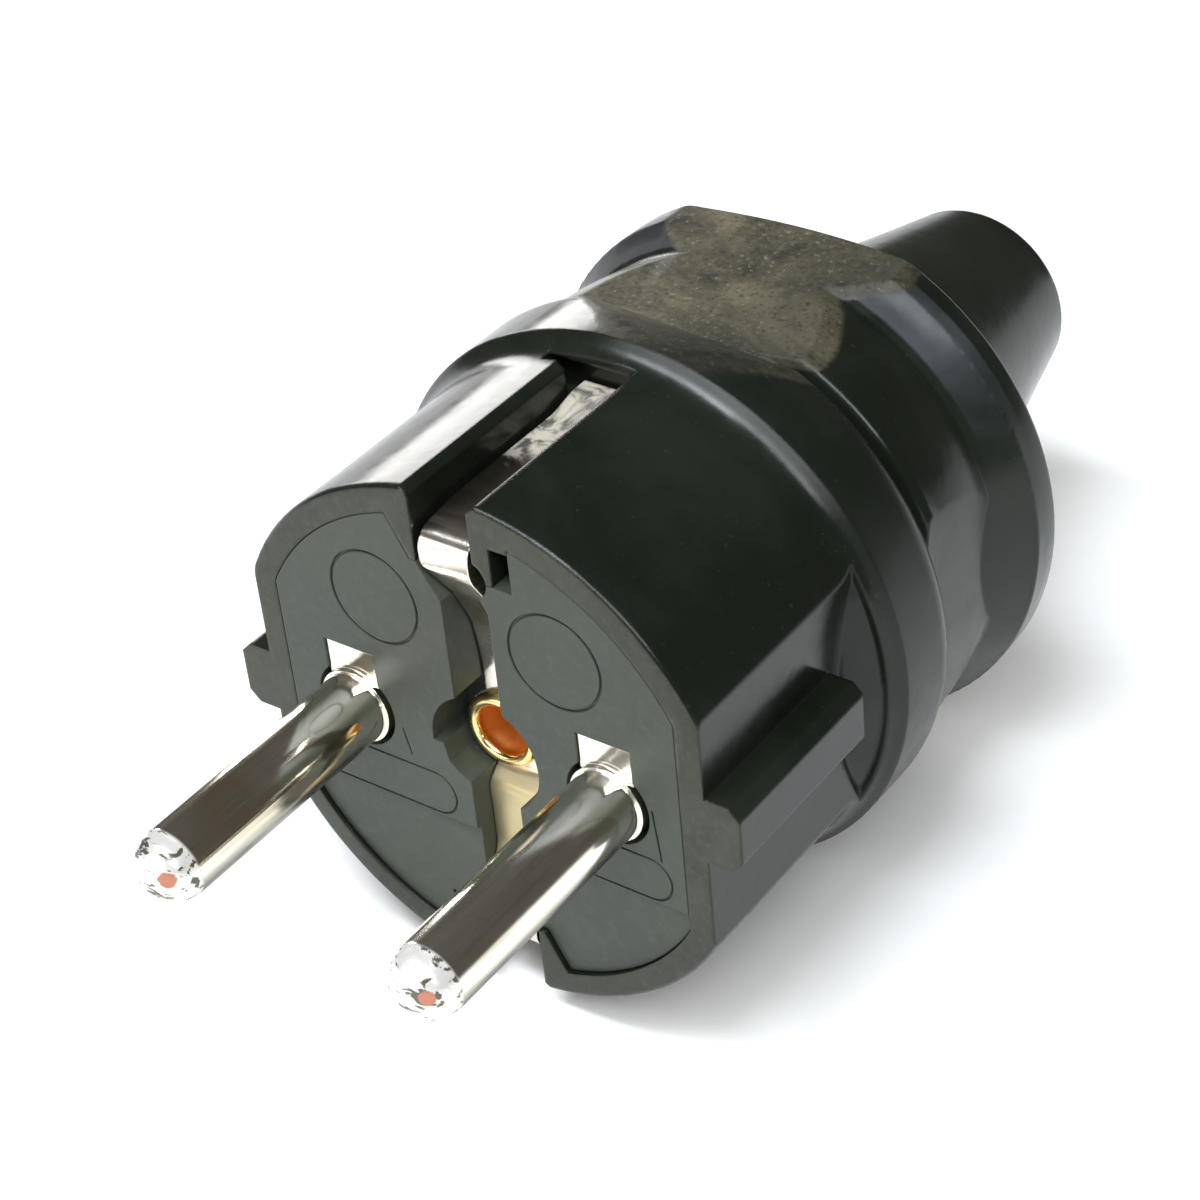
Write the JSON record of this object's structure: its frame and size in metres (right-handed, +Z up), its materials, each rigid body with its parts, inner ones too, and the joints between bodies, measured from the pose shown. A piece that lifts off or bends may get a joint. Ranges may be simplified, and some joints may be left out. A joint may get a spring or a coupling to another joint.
{
  "type": "grounded plug",
  "caption": "Rewireable two-pin mains plug with side earth contacts in a round black housing with a flanged grip and a tapering cable sleeve.",
  "frame": {"origin": "centre of the contact face, midway between the two pins", "axes": "-Y is the way the pins point, +Y runs along the body to the cable entry, +X is to the right as one faces the pins, +Z is up with the earth grooves above and below"},
  "size_m": [0.039, 0.0803, 0.039],
  "materials": {
    "shell": "black moulded thermoset, semi-gloss, fine speckle and scuffs on the flats",
    "carrier": "dark green-grey moulded plastic, matt",
    "pins": "polished nickel plate on brass",
    "screws": "zinc-plated steel",
    "washers": "nickel-plated clamping plates",
    "earth_strip": "nickel-plated spring strip, bright at the bends and dull cream in the slot",
    "rivet": "polished brass, orange-brown inside the bore",
    "clamp": "dark moulded plastic, matt",
    "grommet": "black rubber ring"
  },
  "bodies": {
    "root": {"carrier_backplate": "carrier", "carrier_screw_lower": "screws", "carrier_screw_upper": "screws", "contact_carrier": "carrier", "cord_clamp_bar": "clamp", "cord_clamp_screw_left": "screws", "cord_clamp_screw_right": "screws", "cord_grommet": "grommet", "earth_rivet": "rivet", "earth_screw": "screws", "earth_strip": "earth_strip", "earth_terminal": "rivet", "earth_washer": "washers", "housing_shell": "shell", "pin_left": "pins", "pin_right": "pins", "terminal_screw_left": "screws", "terminal_screw_right": "screws", "terminal_washer_left": "washers", "terminal_washer_right": "washers"}
  },
  "joints": []
}
